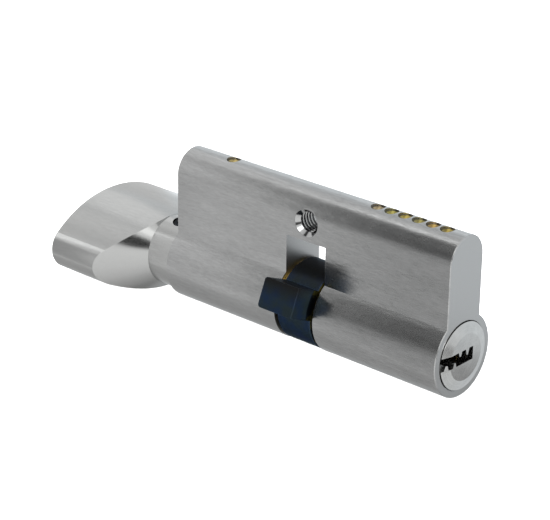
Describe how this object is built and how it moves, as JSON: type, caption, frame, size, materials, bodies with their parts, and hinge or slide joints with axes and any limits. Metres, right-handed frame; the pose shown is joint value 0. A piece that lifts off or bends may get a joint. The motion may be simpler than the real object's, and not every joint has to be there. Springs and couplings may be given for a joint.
{
  "type": "euro profile lock cylinder",
  "caption": "Euro-profile lock cylinder with a key side, a thumbturn side, a central cam and a cross-tapped fixing hole.",
  "frame": {"origin": "on the barrel's axis, in line with the fixing screw and the middle of the cam slot", "axes": "+X along the barrel towards the key side, -X towards the thumbturn, +Z from the barrel towards the pin chambers, +Y across the web so that the frame is right-handed"},
  "size_m": [0.0984, 0.0316, 0.033],
  "materials": {
    "satin_nickel_body": "nickel-plated brass, brushed along the barrel, satin",
    "polished_nickel_plug": "nickel-plated brass, turned and polished",
    "satin_nickel_knob": "nickel-plated brass, satin with fine brush lines",
    "plain_brass": "plain turned brass",
    "chamber_brass": "bright turned brass",
    "pin_brass": "turned brass",
    "bronze_clip": "spring bronze, satin",
    "blackened_cam_steel": "sintered steel, blue-black oxide",
    "hardened_steel": "ground hardened steel",
    "black_screw_steel": "black-oxide screw steel",
    "spring_steel": "drawn spring wire"
  },
  "bodies": {
    "housing": {"cylinder_body": "satin_nickel_body", "chamber_plug_1": "chamber_brass", "chamber_plug_2": "chamber_brass", "chamber_plug_3": "chamber_brass", "chamber_plug_4": "chamber_brass", "chamber_plug_5": "chamber_brass", "chamber_plug_6": "chamber_brass", "pin_spring_1": "spring_steel", "pin_spring_2": "spring_steel", "pin_spring_3": "spring_steel", "pin_spring_4": "spring_steel", "pin_spring_5": "spring_steel", "pin_spring_6": "spring_steel", "turn_chamber_plug": "chamber_brass", "turn_retaining_pin": "hardened_steel", "turn_pin_spring": "spring_steel"},
    "turn": {"thumbturn_knob": "satin_nickel_knob", "knob_grub_screw": "black_screw_steel", "turn_plug": "plain_brass", "turn_side_circlip": "bronze_clip", "cam": "blackened_cam_steel", "clutch_spring": "spring_steel"},
    "key_side": {"key_plug": "polished_nickel_plug", "key_side_circlip": "bronze_clip"},
    "clutch": {"clutch": "hardened_steel"},
    "key_pin_1": {"key_pin_1": "pin_brass"},
    "driver_pin_1": {"driver_pin_1": "hardened_steel"},
    "key_pin_2": {"key_pin_2": "pin_brass"},
    "driver_pin_2": {"driver_pin_2": "hardened_steel"},
    "key_pin_3": {"key_pin_3": "pin_brass"},
    "driver_pin_3": {"driver_pin_3": "hardened_steel"},
    "key_pin_4": {"key_pin_4": "pin_brass"},
    "driver_pin_4": {"driver_pin_4": "hardened_steel"},
    "key_pin_5": {"key_pin_5": "pin_brass"},
    "driver_pin_5": {"driver_pin_5": "hardened_steel"},
    "key_pin_6": {"key_pin_6": "pin_brass"},
    "driver_pin_6": {"driver_pin_6": "hardened_steel"}
  },
  "joints": [
    {"name": "thumbturn", "type": "hinge", "parent": "housing", "child": "turn", "pos_m": [0, 0, 0], "axis": [1, 0, 0], "continuous": true},
    {"name": "key_plug", "type": "hinge", "parent": "housing", "child": "key_side", "pos_m": [0, 0, 0], "axis": [1, 0, 0], "range_deg": [-360, 360]},
    {"name": "clutch", "type": "slide", "parent": "key_side", "child": "clutch", "axis": [-1, 0, 0], "range_m": [0, 0.002], "stiffness_N_per_m": 250, "springref_m": -0.002, "deforming": ["clutch_spring"]},
    {"name": "key_pin_1", "type": "slide", "parent": "key_side", "child": "key_pin_1", "axis": [0, 0, -1], "range_m": [0, 0.0019]},
    {"name": "driver_pin_1", "type": "slide", "parent": "housing", "child": "driver_pin_1", "axis": [0, 0, -1], "range_m": [0, 0.0019], "deforming": ["pin_spring_1"]},
    {"name": "key_pin_2", "type": "slide", "parent": "key_side", "child": "key_pin_2", "axis": [0, 0, -1], "range_m": [0, 0.0013]},
    {"name": "driver_pin_2", "type": "slide", "parent": "housing", "child": "driver_pin_2", "axis": [0, 0, -1], "range_m": [0, 0.0013], "deforming": ["pin_spring_2"]},
    {"name": "key_pin_3", "type": "slide", "parent": "key_side", "child": "key_pin_3", "axis": [0, 0, -1], "range_m": [0, 0.00165]},
    {"name": "driver_pin_3", "type": "slide", "parent": "housing", "child": "driver_pin_3", "axis": [0, 0, -1], "range_m": [0, 0.00165], "deforming": ["pin_spring_3"]},
    {"name": "key_pin_4", "type": "slide", "parent": "key_side", "child": "key_pin_4", "axis": [0, 0, -1], "range_m": [0, 0.0022]},
    {"name": "driver_pin_4", "type": "slide", "parent": "housing", "child": "driver_pin_4", "axis": [0, 0, -1], "range_m": [0, 0.0022], "deforming": ["pin_spring_4"]},
    {"name": "key_pin_5", "type": "slide", "parent": "key_side", "child": "key_pin_5", "axis": [0, 0, -1], "range_m": [0, 0.001]},
    {"name": "driver_pin_5", "type": "slide", "parent": "housing", "child": "driver_pin_5", "axis": [0, 0, -1], "range_m": [0, 0.001], "deforming": ["pin_spring_5"]},
    {"name": "key_pin_6", "type": "slide", "parent": "key_side", "child": "key_pin_6", "axis": [0, 0, -1], "range_m": [0, 0.00175]},
    {"name": "driver_pin_6", "type": "slide", "parent": "housing", "child": "driver_pin_6", "axis": [0, 0, -1], "range_m": [0, 0.00175], "deforming": ["pin_spring_6"]}
  ],
  "couplings": [
    {"joint": "driver_pin_1", "follows": "key_pin_1", "ratio": 1},
    {"joint": "driver_pin_2", "follows": "key_pin_2", "ratio": 1},
    {"joint": "driver_pin_3", "follows": "key_pin_3", "ratio": 1},
    {"joint": "driver_pin_4", "follows": "key_pin_4", "ratio": 1},
    {"joint": "driver_pin_5", "follows": "key_pin_5", "ratio": 1},
    {"joint": "driver_pin_6", "follows": "key_pin_6", "ratio": 1}
  ]
}
